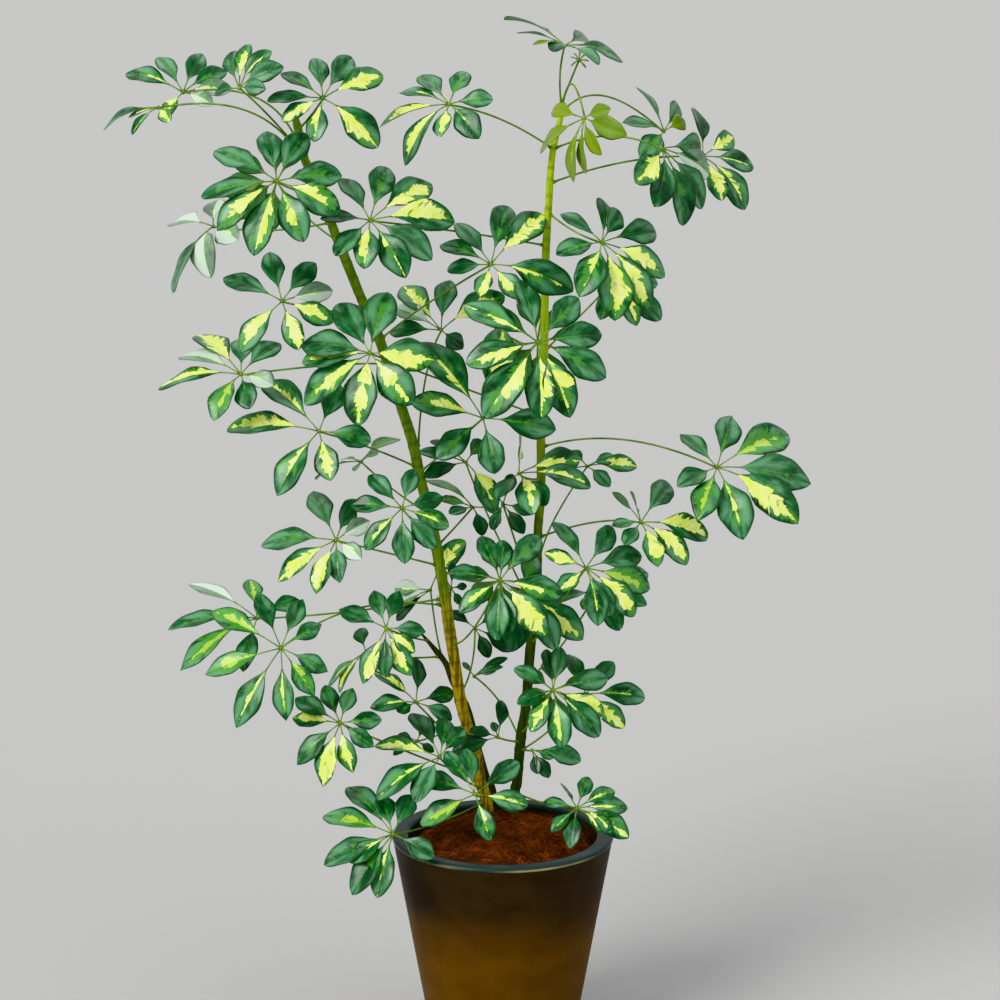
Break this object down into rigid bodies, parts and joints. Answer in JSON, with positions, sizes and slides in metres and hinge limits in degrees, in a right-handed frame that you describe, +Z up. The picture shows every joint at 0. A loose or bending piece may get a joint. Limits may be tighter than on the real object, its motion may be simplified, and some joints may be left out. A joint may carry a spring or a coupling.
{
  "type": "potted umbrella plant",
  "caption": "Variegated dwarf umbrella plant on upright woody stems, with whorls of green and yellow leaflets, in a tapered dark glazed pot topped with coconut fibre.",
  "frame": {"origin": "middle of the pot's flat foot", "axes": "+Z up, +X to the right as seen from the front, +Y away from the front"},
  "size_m": [0.8388, 0.3477, 1.2567],
  "materials": {
    "glaze": "dark satin glaze",
    "soil": "moist potting mix",
    "coir_fibre": "coarse matted fibre",
    "bark": "ringed bark, tan below, green above",
    "green_bark": "green ringed bark",
    "dark_bark": "dark thin bark",
    "leaf": "glossy leathery green, yellow along the middle"
  },
  "bodies": {
    "root": {"pot": "glaze", "soil": "soil", "coir": "coir_fibre", "stem_left": "bark", "stem_right": "green_bark", "stem_side": "dark_bark", "leaf_01": "leaf", "leaf_01b": "leaf", "leaf_02": "leaf", "leaf_03": "leaf", "leaf_04": "leaf", "leaf_05": "leaf", "leaf_06": "leaf", "leaf_07": "leaf", "leaf_08": "leaf", "leaf_09": "leaf", "leaf_10": "leaf", "leaf_11": "leaf", "leaf_11b": "leaf", "leaf_12": "leaf", "leaf_13": "leaf", "leaf_14": "leaf", "leaf_14b": "leaf", "leaf_15": "leaf", "leaf_17": "leaf", "leaf_18": "leaf", "leaf_20": "leaf", "leaf_21": "leaf", "leaf_21b": "leaf", "leaf_22": "leaf", "leaf_23": "leaf", "leaf_24": "leaf", "leaf_24b": "leaf", "leaf_25": "leaf", "leaf_26": "leaf", "leaf_27": "leaf", "leaf_28": "leaf", "leaf_29": "leaf", "leaf_30": "leaf", "leaf_31": "leaf", "leaf_32": "leaf", "leaf_33": "leaf", "leaf_33b": "leaf", "leaf_34": "leaf", "leaf_35": "leaf", "leaf_35b": "leaf", "leaf_36": "leaf", "leaf_37": "leaf", "leaf_38": "leaf", "leaf_39": "leaf", "leaf_40": "leaf", "leaf_40b": "leaf", "leaf_41": "leaf", "leaf_42": "leaf", "leaf_45": "leaf", "leaf_47": "leaf", "leaf_51": "leaf", "leaf_52": "leaf", "leaf_53": "leaf", "leaf_54": "leaf"}
  },
  "joints": []
}
